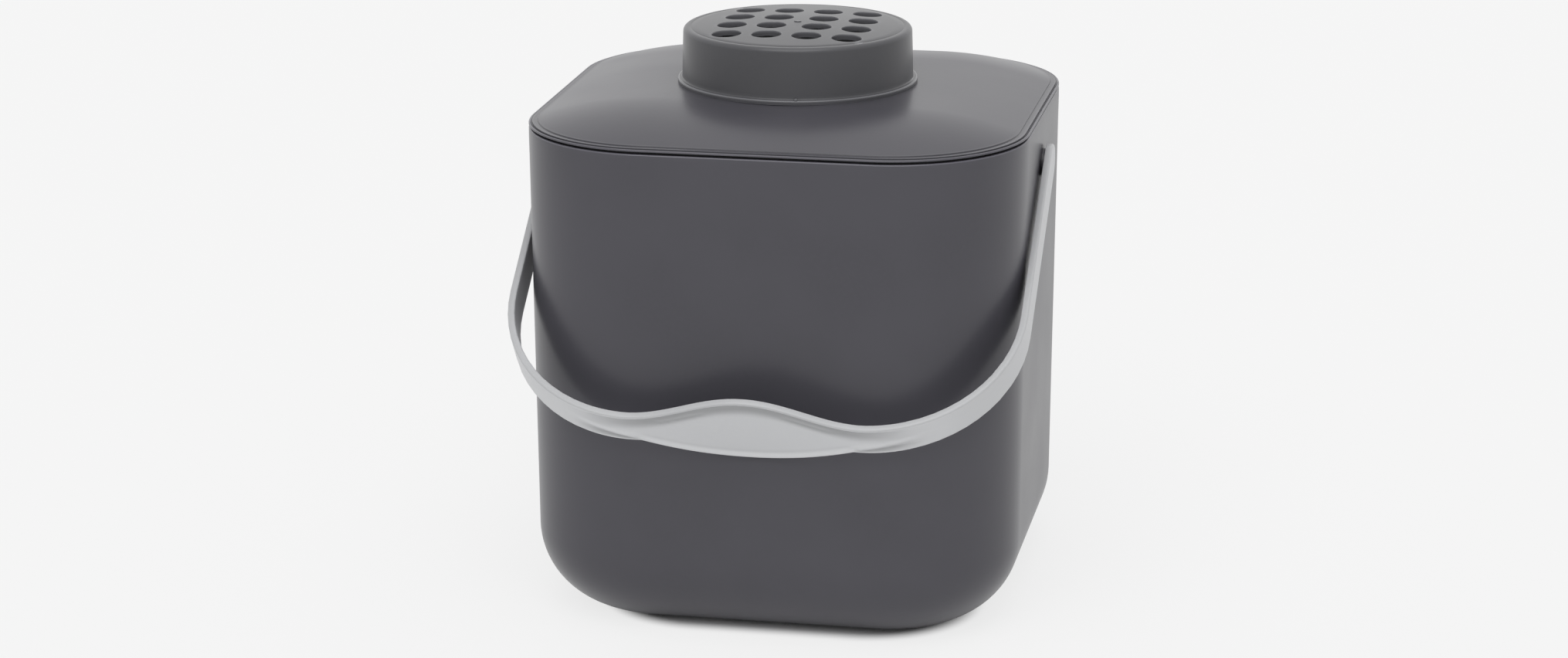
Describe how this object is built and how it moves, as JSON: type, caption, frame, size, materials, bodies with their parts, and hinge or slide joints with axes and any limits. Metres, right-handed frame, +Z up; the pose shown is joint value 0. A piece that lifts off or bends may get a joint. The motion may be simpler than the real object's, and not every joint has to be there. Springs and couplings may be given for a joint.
{
  "type": "kitchen compost caddy",
  "caption": "Square-shouldered compost caddy with a hinged domed lid, a vented twist-off filter cap and a swinging bail handle with a leaf-shaped grip.",
  "frame": {"origin": "on the worktop under the middle of the body, in the plane of its flat base", "axes": "+Z up; -Y is the front, where the handle rests; +Y is the back, where the lid is hinged; +X is to the right seen from the front"},
  "size_m": [0.2078, 0.233, 0.2331],
  "materials": {
    "body_plastic": "fine satin moulding",
    "lid_plastic": "fine satin moulding",
    "seal_rubber": "matt",
    "pin_steel": "bright drawn",
    "cap_plastic": "fine satin moulding",
    "tray_plastic": "satin",
    "charcoal_felt": "carbon-filled felt",
    "handle_plastic": "satin"
  },
  "bodies": {
    "caddy": {"bin_body": "body_plastic", "hinge_pin_left": "pin_steel", "hinge_pin_right": "pin_steel"},
    "lid": {"lid_shell": "lid_plastic", "lid_seal": "seal_rubber", "filter_tray": "tray_plastic", "charcoal_filter": "charcoal_felt"},
    "cap": {"filter_cap": "cap_plastic"},
    "handle": {"carry_handle": "handle_plastic"}
  },
  "joints": [
    {"name": "lid_hinge", "type": "hinge", "parent": "caddy", "child": "lid", "pos_m": [0, 0.1054, 0.1928], "axis": [-1, 0, 0], "range_deg": [0, 105]},
    {"name": "cap_twist", "type": "hinge", "parent": "lid", "child": "cap", "pos_m": [0, -0.004, 0.209], "axis": [0, 0, 1], "range_deg": [0, 60]},
    {"name": "handle_swing", "type": "hinge", "parent": "caddy", "child": "handle", "pos_m": [0, 0, 0.178], "axis": [-1, 0, 0], "range_deg": [0, 254.1]}
  ]
}
